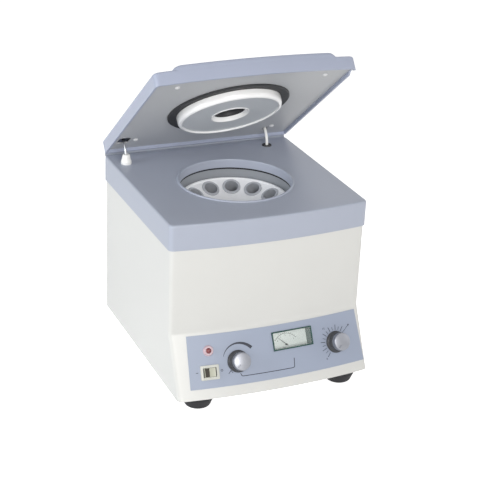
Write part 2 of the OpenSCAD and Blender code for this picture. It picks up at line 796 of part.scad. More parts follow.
module transformer() {
    color([0.38, 0.36, 0.33]) placed() translate([104, 20, base_z + base_t]) {
        block([64, 54, 4]);
        translate([0, 0, 3.9]) block([56, 26, 48]);
        translate([0, 0, 13]) block([36, 46, 30]);
    }
}

module inlet_socket() {
    color([0.12, 0.12, 0.13]) placed() translate([inlet_at[0], case_back, inlet_at[1]])
        rotate([-90, 0, 0]) difference() {
            union() {
                translate([0, 0, -3]) block([28.8, 24, 4.5]);
                translate([0, 0, -24]) block([26, 21, 22]);
            }
            translate([0, 0, -16]) block([24, 16, 30]);
        }
}

module fuse_holder() {
    color([0.14, 0.14, 0.15]) placed() translate([fuse_at[0], case_back - sheet, fuse_at[1]])
        rotate([-90, 0, 0]) {
            cylinder(r1 = 9, r2 = 8, h = 6);
            translate([0, 0, -26]) disc(7, 27);
        }
}

body_shell();
rear_panel();
base_plate();
rubber_feet();
foot_screws();
case_screws();
deck_cover();
deck_screws();
chamber_bowl();
chamber_ring();
chamber_seal();
bowl_screws();
motor_mounts();
motor_plate();
motor_housing();
motor_end_bell();
motor_bearings();
motor_brushes();
motor_magnets();
motor_shaft();
motor_armature();
rotor_head();
tube_sleeves();
rotor_nut();
lid_shell();
lid_liner();
liner_screws();
lid_seal();
splash_ring();
splash_plate();
sight_funnel();
sight_window();
hinge_deck_leaf();
hinge_lid_leaf();
hinge_pin();
stay_boot();
stay_guide();
left_stay_rod();
right_stay_rod();
stay_brackets();
control_panel();
lamp_bezel();
lamp_lens();
switch_frame();
switch_rocker();
speed_knob_skirt();
speed_knob_cap();
speed_control();
timer_knob_skirt();
timer_knob_cap();
timer_unit();
control_nuts();
meter_case();
meter_dial();
meter_window();
meter_needle();
control_board();
transformer();
inlet_socket();
fuse_holder();
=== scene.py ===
import bmesh
import bpy
import numpy as np
from mathutils import Matrix, Vector


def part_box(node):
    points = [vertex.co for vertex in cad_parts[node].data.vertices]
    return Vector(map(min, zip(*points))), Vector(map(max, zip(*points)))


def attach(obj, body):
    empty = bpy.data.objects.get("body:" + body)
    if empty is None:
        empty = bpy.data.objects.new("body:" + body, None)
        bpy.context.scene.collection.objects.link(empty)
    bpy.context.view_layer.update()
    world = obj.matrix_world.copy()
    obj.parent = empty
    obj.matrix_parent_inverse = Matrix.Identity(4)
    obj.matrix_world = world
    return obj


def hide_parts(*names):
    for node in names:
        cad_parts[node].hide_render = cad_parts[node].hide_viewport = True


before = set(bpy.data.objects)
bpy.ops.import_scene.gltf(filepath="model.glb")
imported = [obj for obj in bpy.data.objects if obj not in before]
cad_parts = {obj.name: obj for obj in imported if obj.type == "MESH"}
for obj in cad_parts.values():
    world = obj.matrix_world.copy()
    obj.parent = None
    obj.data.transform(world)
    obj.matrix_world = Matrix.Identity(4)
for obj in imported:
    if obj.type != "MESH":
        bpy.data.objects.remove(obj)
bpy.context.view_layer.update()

# The camera stands where the photograph was taken: a long lens, to the left and above, two metres off,
# with the small roll that the picture has. The object is 310 mm wide.
LENS = 100
SENSOR = 36
ROLL = np.radians(2.664)
EYE = Vector((-0.7839, -1.7761, 1.0440))
AIM = Vector((0.0347, 0.0220, 0.1525))

ahead = (AIM - EYE).normalized()
level = ahead.cross(Vector((0, 0, 1))).normalized()
upright = level.cross(ahead)
right = level * np.cos(ROLL) + upright * np.sin(ROLL)
up = upright * np.cos(ROLL) - level * np.sin(ROLL)
camera = bpy.data.objects.new("camera", bpy.data.cameras.new("camera"))
camera.data.lens = LENS
camera.data.sensor_width = SENSOR
camera.data.clip_start = 0.1
camera.data.clip_end = 50
turn = Matrix((right, up, -ahead)).transposed()
camera.matrix_world = Matrix.Translation(EYE) @ turn.to_4x4()
bpy.context.scene.collection.objects.link(camera)
bpy.context.scene.camera = camera


# The case is one bent sheet of 1.5 mm steel, powder coated off-white. Its bowed front slopes forward
# below a soft bend, the sides run straight back, and a narrow return at each rear edge takes the screws
# of the rear panel. A flange along each lower edge carries the base plate.
MM = 0.001
WIDTH = 310
DEPTH = 291
BOW = 11.5
BOW_R = (WIDTH**2 / 4 + BOW**2) / (2 * BOW)
MIDDLE_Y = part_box("deck_cover")[1].y / MM - DEPTH / 2
BOW_Y = MIDDLE_Y - DEPTH / 2 - BOW + BOW_R
CASE_R = BOW_R - 2
CASE_HALF = WIDTH / 2 - 2
CASE_BACK = MIDDLE_Y + DEPTH / 2 - 2
CASE_Z = 19
CASE_TOP = 274.9
SHEET = 1.5
CASE_CORNER = 7
REAR_CORNER = 1.6
RETURN_X = 139.7
KNEE_Z = 107
KNEE_R = 10
SLOPE = np.arctan2(44, KNEE_Z - CASE_Z)
FLANGE_X = 140
FLANGE_Y = (MIDDLE_Y - 165, MIDDLE_Y + 135)
CREASE = 35


def run(start, end, steps):
    """Points along a straight line, evenly spaced, without the first."""
    return np.linspace(start, end, steps + 1)[1:]


def arc(x, y, radius, start, end, steps):
    """Points round a circle, without the first: an angle of 0 is the front and 90 degrees the right."""
    a = np.linspace(start, end, steps + 1)[1:]
    return np.column_stack([x + radius * np.sin(a), y - radius * np.cos(a)])


def outline(bow_r, half, back, corner, rear, opening=0):
    """A part's plan, from the middle of its back past the left side, the front and the right side.
    The front is an arc about the bow's centre, and each corner is an arc that meets its two neighbours.
    The back stays open between plus and minus the opening."""
    sweep = np.arcsin((half - corner) / (bow_r - corner))
    corner_y = BOW_Y - (bow_r - corner) * np.cos(sweep)
    quarter = np.pi / 2
    return np.concatenate([
        [(-opening, back)],
        run((-opening, back), (rear - half, back), 12),
        arc(rear - half, back - rear, rear, 2 * quarter, 3 * quarter, 6),
        run((-half, back - rear), (-half, corner_y), 40),
        arc(corner - half, corner_y, corner, 3 * quarter, 4 * quarter - sweep, 10),
        arc(0, BOW_Y, bow_r, -sweep, sweep, 64),
        arc(half - corner, corner_y, corner, sweep, quarter, 10),
        run((half, corner_y), (half, back - rear), 40),
        arc(half - rear, back - rear, rear, quarter, 2 * quarter, 6),
        run((half - rear, back), (opening, back), 12),
    ])


def at_height(plan, z):
    """A plan's points, all at one height, or each at its own."""
    return np.column_stack([plan, np.broadcast_to(z, len(plan))])


def ahead_of_case(z):
    """How far the front stands ahead at a height: nothing above the bend, the slope's rise below it,
    and in the bend the circle that touches both."""
    fall = KNEE_Z + KNEE_R * np.tan(SLOPE / 2) - z
    bent = np.clip(fall, 0, KNEE_R * np.sin(SLOPE))
    curve = KNEE_R - np.sqrt(KNEE_R**2 - bent**2)
    return np.where(fall < KNEE_R * np.sin(SLOPE), curve, (KNEE_Z - z) * np.tan(SLOPE))


def quads(index):
    """The faces of a grid of point numbers, each between two neighbouring rows and columns."""
    corners = [index[:-1, :-1], index[:-1, 1:], index[1:, 1:], index[1:, :-1]]
    return np.stack([c.ravel() for c in corners], axis=1)


def plate(outer, inner):
    """A closed sheet: two open grids of the same size, joined along their borders."""
    rows, columns = outer.shape[:2]
    index = np.arange(rows * columns).reshape(rows, columns)
    border = np.concatenate([index[0, :-1], index[:-1, -1], index[-1, :0:-1], index[:0:-1, 0]])
    after = np.roll(border, -1)
    count = rows * columns
    rim = np.stack([after, border, border + count, after + count], axis=1)
    points = np.concatenate([outer.reshape(-1, 3), inner.reshape(-1, 3)])
    return points, np.concatenate([quads(index), quads(index)[:, ::-1] + count, rim])


def box(low, high):
    """A closed block between two corners."""
    x, y = np.meshgrid([low[0], high[0]], [low[1], high[1]], indexing="ij")
    return plate(np.dstack([x, y, np.full((2, 2), high[2])]), np.dstack([x, y, np.full((2, 2), low[2])]))


def welded(name, parts):
    """One mesh of closed parts in millimetres: doubled points are merged and faces turned outwards."""
    starts = np.cumsum([0] + [len(points) for points, _ in parts])
    faces = [[i + start for i in face] for (_, part), start in zip(parts, starts) for face in
             (part.tolist() if isinstance(part, np.ndarray) else part)]
    mesh = bpy.data.meshes.new(name)
    mesh.from_pydata(np.concatenate([points for points, _ in parts]) * MM, [], faces)
    work = bmesh.new()
    work.from_mesh(mesh)
    bmesh.ops.remove_doubles(work, verts=work.verts, dist=1e-7)
    bmesh.ops.recalc_face_normals(work, faces=work.faces)
    work.to_mesh(mesh)
    work.free()
    return mesh


def piece(name, parts, body, material, stands_for=(), crease=CREASE, rounded=0):
    """A piece welded from closed parts, smooth up to the crease angle, with its edges rounded where a
    radius is given. It rides on a body and takes the place of the nodes that it stands for."""
    mesh = welded(name, parts)
    mesh.shade_smooth()
    mesh.set_sharp_from_angle(angle=np.radians(crease))
    mesh.materials.append(material)
    thing = bpy.data.objects.new(name, mesh)
    bpy.context.scene.collection.objects.link(thing)
    if rounded:
        edge = thing.modifiers.new("edge", "BEVEL")
        edge.width = rounded * MM
        edge.segments = 3
        edge.limit_method = "ANGLE"
        edge.angle_limit = np.radians(crease)
        edge.harden_normals = True
    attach(thing, body)
    if stands_for:
        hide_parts(*stands_for)
    return thing


def screen(red, green, blue):
    """A colour read off a screen, 0 to 255, as linear light: a short straight foot, then a power of 2.4."""
    c = np.array([red, green, blue]) / 255
    return (*np.where(c <= 0.04045, c / 12.92, ((c + 0.055) / 1.055) ** 2.4).tolist(), 1)


GRAIN_SHARE = 0.35


def make_surface_group():
    """Blotches that shift a finish's tone and gloss a little, and a fine grain that stands for its texture.
    Both are noise over the Object coordinates, and Stretch draws them out into brushed lines."""
    group = bpy.data.node_groups.new("surface", "ShaderNodeTree")
    for name, kind, value in [
        ("Colour", "NodeSocketColor", (0.8, 0.8, 0.8, 1)), ("Tone", "NodeSocketFloat", 0.04),
        ("Roughness", "NodeSocketFloat", 0.5), ("Spread", "NodeSocketFloat", 0.05),
        ("Blotch", "NodeSocketFloat", 0.04), ("Grain", "NodeSocketFloat", 0.0005),
        ("Stretch", "NodeSocketVector", (1, 1, 1)),
    ]:
        group.interface.new_socket(name=name, in_out="INPUT", socket_type=kind).default_value = value
    for name, kind in [("Colour", "NodeSocketColor"), ("Roughness", "NodeSocketFloat"),
                       ("Grain", "NodeSocketFloat")]:
        group.interface.new_socket(name=name, in_out="OUTPUT", socket_type=kind)
    node, link = group.nodes.new, group.links.new
    given, result = node("NodeGroupInput"), node("NodeGroupOutput")
    place, drawn = node("ShaderNodeTexCoord"), node("ShaderNodeVectorMath")
    drawn.operation = "MULTIPLY"
    link(place.outputs["Object"], drawn.inputs[0])
    link(given.outputs["Stretch"], drawn.inputs[1])
    noises = []
    for size, detail in [("Blotch", 3), ("Grain", 2)]:
        scale, noise = node("ShaderNodeMath"), node("ShaderNodeTexNoise")
        scale.operation = "DIVIDE"
        scale.inputs[0].default_value = 1
        noise.inputs["Detail"].default_value = detail
        link(given.outputs[size], scale.inputs[1])
        link(scale.outputs[0], noise.inputs["Scale"])
        link(drawn.outputs[0] if size == "Grain" else place.outputs["Object"], noise.inputs["Vector"])
        noises.append(noise.outputs["Fac"])
    blotch, grain = noises
    both, swing = node("ShaderNodeMath"), node("ShaderNodeMath")
    both.operation = "MULTIPLY_ADD"
    link(grain, both.inputs[0])
    both.inputs[1].default_value = GRAIN_SHARE
    link(blotch, both.inputs[2])
    swing.operation = "SUBTRACT"
    link(both.outputs[0], swing.inputs[0])
    swing.inputs[1].default_value = 0.5 * (1 + GRAIN_SHARE)
    for socket, amount in [("Colour", "Tone"), ("Roughness", "Spread")]:
        part = node("ShaderNodeMath")
        part.operation = "MULTIPLY"
        link(swing.outputs[0], part.inputs[0])
        link(given.outputs[amount], part.inputs[1])
        if socket == "Roughness":
            total = node("ShaderNodeMath")
            total.operation = "ADD"
            total.use_clamp = True
            link(part.outputs[0], total.inputs[0])
            link(given.outputs["Roughness"], total.inputs[1])
            link(total.outputs[0], result.inputs["Roughness"])
        else:
            factor, tinted = node("ShaderNodeMath"), node("ShaderNodeVectorMath")
            factor.operation = "ADD"
            factor.inputs[1].default_value = 1
            tinted.operation = "SCALE"
            link(part.outputs[0], factor.inputs[0])
            link(given.outputs["Colour"], tinted.inputs[0])
            link(factor.outputs[0], tinted.inputs["Scale"])
            link(tinted.outputs[0], result.inputs["Colour"])
    link(grain, result.inputs["Grain"])
    return group


SURFACE = make_surface_group()


def finish(name, colour, roughness, tone=0.08, spread=0.15, blotch=45, grain=0.6, depth=0.01,
           stretch=(1, 1, 1), **shader):
    """A material from the surface group. Blotch and grain are sizes and depth is the grain's height, in
    millimetres; further words set the shader's own sockets."""
    material = bpy.data.materials.new(name)
    material.use_nodes = True
    nodes, link = material.node_tree.nodes, material.node_tree.links.new
    shade = nodes["Principled BSDF"]
    surface, relief = nodes.new("ShaderNodeGroup"), nodes.new("ShaderNodeBump")
    surface.node_tree = SURFACE
    for socket, value in [("Colour", colour), ("Tone", tone), ("Roughness", roughness), ("Spread", spread),
                          ("Blotch", blotch * MM), ("Grain", grain * MM), ("Stretch", stretch)]:
        surface.inputs[socket].default_value = value
    relief.inputs["Distance"].default_value = depth * MM
    link(surface.outputs["Grain"], relief.inputs["Height"])
    link(surface.outputs["Colour"], shade.inputs["Base Color"])
    link(surface.outputs["Roughness"], shade.inputs["Roughness"])
    link(relief.outputs["Normal"], shade.inputs["Normal"])
    for socket, value in shader.items():
        shade.inputs[socket.replace("_", " ")].default_value = value
    return material


def dress(material, *nodes):
    """Gives CAD nodes, whose shape stays, their material."""
    for name in nodes:
        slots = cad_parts[name].data.materials
        slots.clear()
        slots.append(material)


case_paint = finish("case_paint", screen(213, 213, 210), 0.38, tone=0.03, grain=1.4, depth=0.012,
                    Coat_Weight=0.25, Coat_Roughness=0.2)
bend_top = KNEE_Z + KNEE_R * np.tan(SLOPE / 2)
bend_foot = bend_top - KNEE_R * np.sin(SLOPE)
case_heights = np.concatenate([
    np.linspace(CASE_Z, bend_foot, 12), np.linspace(bend_foot, bend_top, 9)[1:],
    np.linspace(bend_top, CASE_TOP, 14)[1:]])
case_faces = [
    np.stack([
        at_height(outline(CASE_R - inset + ahead_of_case(z), CASE_HALF - inset, CASE_BACK - inset,
                          CASE_CORNER - inset, REAR_CORNER - inset, RETURN_X), z)
        for z in case_heights])
    for inset in (0, SHEET)]
flanges = [
    box((min(x), FLANGE_Y[0], CASE_Z), (max(x), FLANGE_Y[1], CASE_Z + SHEET))
    for x in [(-CASE_HALF + SHEET / 2, -FLANGE_X), (FLANGE_X, CASE_HALF - SHEET / 2)]]
case_body = piece("case_body", [plate(*case_faces), *flanges], "case", case_paint,
                  stands_for=["body_shell"])


# The rear panel is a flat steel plate with a block of ventilation slots, screwed between the returns of
# the case, and the base plate below is zinc plated, as is the plate that the motor stands on.
rear_paint = finish("rear_paint", screen(226, 226, 222), 0.42, tone=0.03, grain=1.4, depth=0.012)
zinc = finish("zinc", screen(186, 188, 190), 0.38, tone=0.25, blotch=9, grain=0.8, Metallic=1)
dress(rear_paint, "rear_panel")
dress(zinc, "base_plate", "motor_plate")


# The screws are plated steel with a domed head and a cross recess. They hold the rear panel and the base
# plate to the case; those of the deck and the chamber are driven from below, inside the case.
HEAD_R = 3.8
HEAD_T = 2.4
SHANK_R = 1.9


def turned(profile, steps=64):
    """A closed part turned about the Z axis: a profile of radius and height, carried round in equal
    steps. A profile that doesn't end on the axis is closed on itself."""
    profile = np.asarray(profile, float)
    if profile[0, 0] > 1e-6 or profile[-1, 0] > 1e-6:
        profile = np.vstack([profile, profile[:1]])
    a = np.linspace(0, 2 * np.pi, steps, endpoint=False)
    ring = np.stack([np.outer(profile[:, 0], np.cos(a)), np.outer(profile[:, 0], np.sin(a)),
                     np.repeat(profile[:, 1:], steps, axis=1)], axis=2)
    index = np.arange(len(profile) * steps).reshape(-1, steps)
    return ring.reshape(-1, 3), quads(np.column_stack([index, index[:, 0]]))


def screw(length):
    """A screw along Z with its seat at 0: the head is below it, its crown a shallow dome that is pressed
    in where a cross of two bars lies over it, and the shank rises to the length."""
    rho = np.concatenate([[0], np.linspace(0.08, 0.62, 10), [0.8, 0.94, 1]]) * HEAD_R
    points, faces = turned(np.vstack([
        np.column_stack([rho, -HEAD_T + 0.55 * (rho / HEAD_R) ** 3 * HEAD_T]),
        [(HEAD_R, 0), (SHANK_R, 0), (SHANK_R, length), (0, length)]]), 48)
    near, far = np.sort(np.abs(points[:, :2]), axis=1).T
    recess = (near < 0.13 * HEAD_R) & (far < 0.55 * HEAD_R) & (points[:, 2] < -0.3 * HEAD_T)
    points[:, 2] += recess * 0.5 * HEAD_T
    return points, faces


def moved(part, turn=np.eye(3), to=(0, 0, 0)):
    """A part turned by a matrix and carried to a place."""
    points, faces = part
    return points @ np.asarray(turn).T + np.asarray(to), faces


def about(axis, degrees):
    """The matrix of a turn about one of the axes X, Y or Z."""
    return np.array(Matrix.Rotation(np.radians(degrees), 3, axis))


screw_plate = finish("screw_plate", screen(205, 206, 208), 0.28, tone=0.2, blotch=3, grain=0.3, Metallic=1)
lower_places = [(x * 146, MIDDLE_Y + y, CASE_Z) for x in (-1, 1) for y in (-120, 0, 120)]
rear_places = [(x * 144, CASE_BACK, z) for x in (-1, 1) for z in (40, 135, 230)]
piece("case_screw_set",
      [moved(screw(6), np.eye(3), p) for p in lower_places]
      + [moved(screw(7), about("X", 90), p) for p in rear_places],
      "case", screw_plate, stands_for=["case_screws"])
dress(screw_plate, "foot_screws", "deck_screws", "bowl_screws", "control_nuts")


# The feet are black rubber pads with a recessed sole ring, and softer mounts of the same rubber carry the
# motor. The rubber is matte and slightly greyed by handling.
rubber = finish("rubber", screen(40, 40, 43), 0.72, tone=0.35, spread=0.2, blotch=12, grain=0.5, depth=0.03,
                Specular_IOR_Level=0.35)
dress(rubber, "rubber_feet", "motor_mounts")


# The deck is a blue-grey moulding that drops over the case like a shallow box. Its upper edge is rounded,
# and the round mouth of the chamber has a raised bead and a collar that reaches down to the bowl.
DECK_Z = 278
SKIRT_Z = 239
DECK_EDGE = 3
DECK_WALL = 1.8
DECK_UNDER = 275
DECK_CORNER = 8
DECK_REAR = 3.5
AXIS_Y = MIDDLE_Y - 12
MOUTH_R = 84.6
COLLAR_Z = 266


def deck_outline(inset, corner=DECK_CORNER, rear=DECK_REAR):
    """The plan that the deck and the lid share, drawn in by an inset."""
    return outline(BOW_R - inset, WIDTH / 2 - inset, MIDDLE_Y + DEPTH / 2 - inset, corner, rear)[:-1]


def around(radius, plan):
    """A circle about the rotor's axis, with its points in the directions of a plan's points."""
    away = plan - (0, AXIS_Y)
    return away / np.linalg.norm(away, axis=1)[:, None] * radius + (0, AXIS_Y)


def ring_of(loops):
    """A closed part from closed loops, each joined to the next and the last to the first."""
    count = len(loops[0])
    index = np.arange(len(loops) * count).reshape(len(loops), count)
    index = np.vstack([index, index[:1]])
    return np.concatenate(loops), quads(np.column_stack([index, index[:, 0]]))


def rounded_edge(radius, top, steps=6):
    """Inset and height round a quarter circle, from the wall up on to the top."""
    a = np.linspace(0, np.pi / 2, steps + 1)
    return zip(radius * (1 - np.cos(a)), top - radius * (1 - np.sin(a)))


deck_plastic = finish("deck_plastic", screen(169, 175, 190), 0.36, tone=0.05, grain=0.7, depth=0.02)
top_plan = deck_outline(DECK_EDGE)
bead = np.radians(np.linspace(0, 180, 13))
lip = [(94, 0), (90, 0), (89.2, 0.1), *zip(MOUTH_R + 2 + 2 * np.cos(bead), 0.1 + 1.8 * np.sin(bead)),
       (MOUTH_R, -1), (MOUTH_R, COLLAR_Z + 0.4 - DECK_Z), (MOUTH_R + 0.4, COLLAR_Z - DECK_Z),
       (MOUTH_R + 2.6, COLLAR_Z - DECK_Z), (MOUTH_R + 3, COLLAR_Z + 0.4 - DECK_Z),
       (MOUTH_R + 3, DECK_UNDER - DECK_Z)]
piece("deck_moulding", [ring_of(
    [at_height(deck_outline(0), SKIRT_Z),
     *(at_height(deck_outline(i), z) for i, z in rounded_edge(DECK_EDGE, DECK_Z)),
     *(at_height(top_plan * (1 - k) + around(94, top_plan) * k, DECK_Z) for k in (0.25, 0.5, 0.75)),
     *(at_height(around(r, top_plan), DECK_Z + z) for r, z in lip),
     at_height(deck_outline(DECK_WALL + 1, 6, 2), DECK_UNDER),
     at_height(deck_outline(DECK_WALL, 6, 1.7), DECK_UNDER - 1),
     at_height(deck_outline(DECK_WALL, 6, 1.7), SKIRT_Z)])],
    "case", deck_plastic, stands_for=["deck_cover"])


# The lid is a moulding of the same plastic with a skirt all round, a raised crown that comes flush with
# the front, and a notch in the right skirt for the latch. It is held open by the hinges and the stays.
LID_OPEN = 38.2
HINGE = np.array([0, MIDDLE_Y + DEPTH / 2 + 3.4, 278.3])
RIM_Z = 278.5
LID_TOP = 299
LID_WALL = 3
LID_ROOF = 2
CROWN = 6.5
SIGHT_R = 22
NOTCH_Y = MIDDLE_Y - 128
NOTCH_HALF = 10
NOTCH_DEEP = 4


def on_lid(part):
    """A part of the closed lid, turned about the hinge to where the open lid holds it."""
    points, faces = part
    return (points - HINGE) @ about("X", -LID_OPEN).T + HINGE, faces


def lid_rim(inset, corner, rear):
    """The lid's lower edge, level but for the notch, which is cut up into the right skirt."""
    plan = deck_outline(inset, corner, rear)
    cut = (plan[:, 0] > WIDTH / 2 - LID_WALL - 0.5) & (np.abs(plan[:, 1] - NOTCH_Y) < NOTCH_HALF)
    return at_height(plan, RIM_Z + NOTCH_DEEP * cut)


def crown_outline(inset, draft, corner=10):
    """The plan of the lid's raised crown: the lid's own bow in front, and its sides further in."""
    return outline(BOW_R - inset, 127 - draft, MIDDLE_Y + 124 - draft, corner, corner)[:-1]


lid_plastic = finish("lid_plastic", screen(167, 174, 194), 0.36, tone=0.05, grain=0.7, depth=0.02)
inside = crown_outline(6, 10)
lid_skin = ring_of([
    lid_rim(0, DECK_CORNER, DECK_REAR), *(at_height(deck_outline(i), z) for i, z in rounded_edge(3, LID_TOP)),
    at_height(inside, LID_TOP), at_height(inside, LID_TOP - LID_ROOF),
    at_height(deck_outline(LID_WALL, 5, 2), LID_TOP - LID_ROOF), lid_rim(LID_WALL, 5, 2)])
top = LID_TOP + CROWN
shoulder = [(0.2, 0, LID_TOP - 4.5), (0.2, 0, LID_TOP - 1), (0.3, 0.6, LID_TOP + 1), (0.7, 3.6, top - 2.2),
            (1.3, 5, top - 0.9), (2.2, 6.2, top - 0.2), (3.4, 7.4, top)]
last = crown_outline(3.4, 7.4)
crown = ring_of([
    *(at_height(crown_outline(i, d), z) for i, d, z in shoulder),
    at_height(around(60, last), top), at_height(around(28, last), top),
    at_height(around(27.3, last), top - 0.3),
    at_height(around(27.2, last), top - 1.1), at_height(around(SIGHT_R, last), top - 1.1),
    at_height(around(SIGHT_R, last), top - LID_ROOF), at_height(around(60, last), top - LID_ROOF),
    at_height(inside, top - LID_ROOF), at_height(inside, LID_TOP - 4.5)])
piece("lid_moulding", [on_lid(lid_skin), on_lid(crown)], "lid", lid_plastic,
      stands_for=["lid_shell"])


# Inside the lid a flat grey liner is held by four white-headed screws. A black rubber seal lies round the
# splash ring, whose bright white wall dips into the mouth of the chamber and carries the plate. The plate is
# white like the ring, and its grey colour is painted shade for its face, which looks down.
liner_grey = finish("liner_grey", screen(186, 188, 191), 0.45, tone=0.05, grain=0.9, depth=0.012)
white_gloss = finish("white_gloss", screen(246, 246, 246), 0.22, tone=0.03, depth=0.004, Coat_Weight=0.3)
plate_painted_shade = finish("plate_painted_shade", screen(196, 200, 204), 0.38, tone=0.05, grain=0.8)
seal_rubber = finish("seal_rubber", screen(34, 35, 38), 0.6, tone=0.3, blotch=8, grain=0.5, depth=0.03)
smoked = finish("smoked", screen(24, 25, 28), 0.08, tone=0.1, depth=0.001, Coat_Weight=0.5)
screw_white = finish("screw_white", screen(222, 222, 224), 0.3, tone=0.1, blotch=2, Coat_Weight=0.3)
LINER_Z = RIM_Z + 5
liner_places = [(x * 115, MIDDLE_Y + y, LINER_Z - 0.1) for x in (-1, 1) for y in (103, -119)]
piece("liner_screw_set", [on_lid(moved(screw(10), np.eye(3), p)) for p in liner_places], "lid",
      screw_white, stands_for=["liner_screws"])
dress(liner_grey, "lid_liner")
dress(white_gloss, "splash_ring", "sight_funnel")
# The plate's grey is painted shade: the same white plastic as the ring, coloured darker for its downward
# face.
dress(plate_painted_shade, "splash_plate")
dress(seal_rubber, "lid_seal", "chamber_seal")
dress(smoked, "sight_window")
# The dark lining inside the sight tube is painted shade: it darkens the tube's inner wall, whose depth lies
# in shadow.
sight_painted_shade = finish("sight_painted_shade", screen(30, 30, 34), 0.5, tone=0.2, blotch=10)
points, faces = turned([(24.4, 276), (24.1, 276.2), (21.7, 281.5), (21.7, 302.8), (21.95, 302.8),
                        (21.95, 281.6)], 96)
piece("sight_shade_lining", [on_lid((points + (0, AXIS_Y, 0), faces))], "lid", sight_painted_shade)


# One long hinge, painted like the deck, joins lid and deck on a steel pin. The left stay is a plated rod in
# a white boot, the right one a white rod in a black guide. Grey brackets inside the lid hold their tops.
hinge_paint = finish("hinge_paint", screen(150, 156, 168), 0.4, tone=0.05, blotch=20, grain=0.8)
hinge_steel = finish("hinge_steel", screen(168, 170, 173), 0.32, tone=0.2, blotch=5, grain=0.4, Metallic=1)
boot_white = finish("boot_white", screen(240, 240, 238), 0.35, tone=0.05, blotch=6, grain=0.5)
black_plastic = finish("black_plastic", screen(44, 44, 47), 0.45, tone=0.2, blotch=8, grain=0.4, depth=0.015)
bracket_grey = finish("bracket_grey", screen(112, 115, 120), 0.45, tone=0.1, blotch=8, grain=0.5)
dress(hinge_paint, "hinge_deck_leaf", "hinge_lid_leaf")
dress(hinge_steel, "hinge_pin", "left_stay_rod")
dress(boot_white, "stay_boot", "right_stay_rod")
dress(black_plastic, "stay_guide")
dress(bracket_grey, "stay_brackets")


# The chamber is a drawn bowl under a painted ring. In it turns the rotor, a white coated casting with
# twelve leaning bores, and each bore holds a sleeve of anodised aluminium for one tube.
bowl_steel = finish("bowl_steel", screen(176, 178, 182), 0.32, tone=0.12, blotch=30, grain=0.7,
                    stretch=(1, 1, 30), Metallic=0.9)
ring_grey = finish("ring_grey", screen(150, 154, 160), 0.4, tone=0.08, grain=0.8)
rotor_white = finish("rotor_white", screen(248, 249, 252), 0.35, tone=0.06, blotch=20, grain=1.0, depth=0.015)
sleeve_grey = finish("sleeve_grey", screen(186, 189, 195), 0.42, tone=0.1, blotch=6, grain=0.4)
dress(bowl_steel, "chamber_bowl")
dress(ring_grey, "chamber_ring")
dress(rotor_white, "rotor_head")
dress(sleeve_grey, "tube_sleeves")
dress(screw_plate, "rotor_nut")


# The drive stands under the chamber: a painted motor with a cast end bell, carbon brushes, curved magnets
# and a wound armature on the ground shaft. None of it shows while the case is shut.
motor_paint = finish("motor_paint", screen(72, 75, 80), 0.45, tone=0.1, grain=0.9)
cast_alloy = finish("cast_alloy", screen(160, 162, 165), 0.5, tone=0.15, blotch=10, grain=0.8, depth=0.04,
                    Metallic=0.9)
ground_steel = finish("ground_steel", screen(205, 206, 208), 0.18, tone=0.08, grain=0.4, Metallic=1,
                      stretch=(1, 1, 20))
carbon = finish("carbon", screen(38, 38, 40), 0.55, tone=0.3, blotch=4)
copper = finish("copper", screen(176, 112, 74), 0.35, tone=0.3, blotch=6, grain=0.9, stretch=(1, 1, 0.1),
                Metallic=0.9)
board_green = finish("board_green", screen(44, 100, 62), 0.4, tone=0.3, blotch=14, grain=0.7)
core_iron = finish("core_iron", screen(104, 96, 84), 0.5, tone=0.2, blotch=9, grain=0.6, stretch=(40, 1, 1),
                   Metallic=0.5)
dress(motor_paint, "motor_housing", "motor_magnets")
dress(cast_alloy, "motor_end_bell")
dress(ground_steel, "motor_bearings", "motor_shaft")
dress(carbon, "motor_brushes")
dress(copper, "motor_armature")
dress(board_green, "control_board")
dress(core_iron, "transformer")
dress(black_plastic, "speed_control", "timer_unit")


# The control panel is a thin blue-grey plate that follows the bow and the slope. Its scales are printed in
# dark blue: a tapering arc over the speed knob, ticks and figures round the timer, and a leader line.
PANEL_TOP = 1.3
PRINT_T = 0.06
SPEED_AT = (-56.5, 49)
TIMER_AT = (104.5, 47)
SWITCH_AT = (-101, 60)
LAMP_AT = (-99, 28.5)
METER_AT = (33.5, 29)
HOLE_R = 5.3
HOLE_REACH = 12
SWITCH_HOLE = np.array([11.3, 8.3, HOLE_REACH])
METER_HOLE = np.array([32.7, 14.2, HOLE_REACH])


def on_front(part, at, lift=0):
    """A part drawn about its own axis, stood on the sloping front: Z outwards and Y up the slope."""
    radius = CASE_R + at[1] * np.sin(SLOPE)
    bearing = about("Z", np.degrees(np.arcsin(at[0] / radius)))
    tilt = bearing @ about("X", 90 - np.degrees(SLOPE))
    foot = bearing @ (0, -radius, KNEE_Z - at[1] * np.cos(SLOPE)) + (0, BOW_Y, 0)
    return moved(part, tilt, foot + tilt @ (0, 0, lift))


def cut_out(thing, parts):
    """Takes closed parts in millimetres away from a piece, and marks its sharp edges anew."""
    cutter = bpy.data.objects.new("cutter", welded("cutter", parts))
    bpy.context.scene.collection.objects.link(cutter)
    taken = thing.modifiers.new("openings", "BOOLEAN")
    taken.solver = "EXACT"
    taken.object = cutter
    result = bpy.data.meshes.new_from_object(thing.evaluated_get(bpy.context.evaluated_depsgraph_get()))
    thing.modifiers.remove(taken)
    thing.data = result
    result.set_sharp_from_angle(angle=np.radians(CREASE))
    bpy.data.objects.remove(cutter)


def on_slope(points):
    """Points given across the bow, down the slope and outwards, laid on the cone that the sloping front
    is part of: the radius about the bow's centre grows with the distance down."""
    across, down, lift = np.asarray(points, float).T
    radius = CASE_R + down * np.sin(SLOPE)
    bearing = np.arcsin(across / radius)
    radius = radius + lift * np.cos(SLOPE)
    return np.column_stack([radius * np.sin(bearing), BOW_Y - radius * np.cos(bearing),
                            KNEE_Z - down * np.cos(SLOPE) + lift * np.sin(SLOPE)])


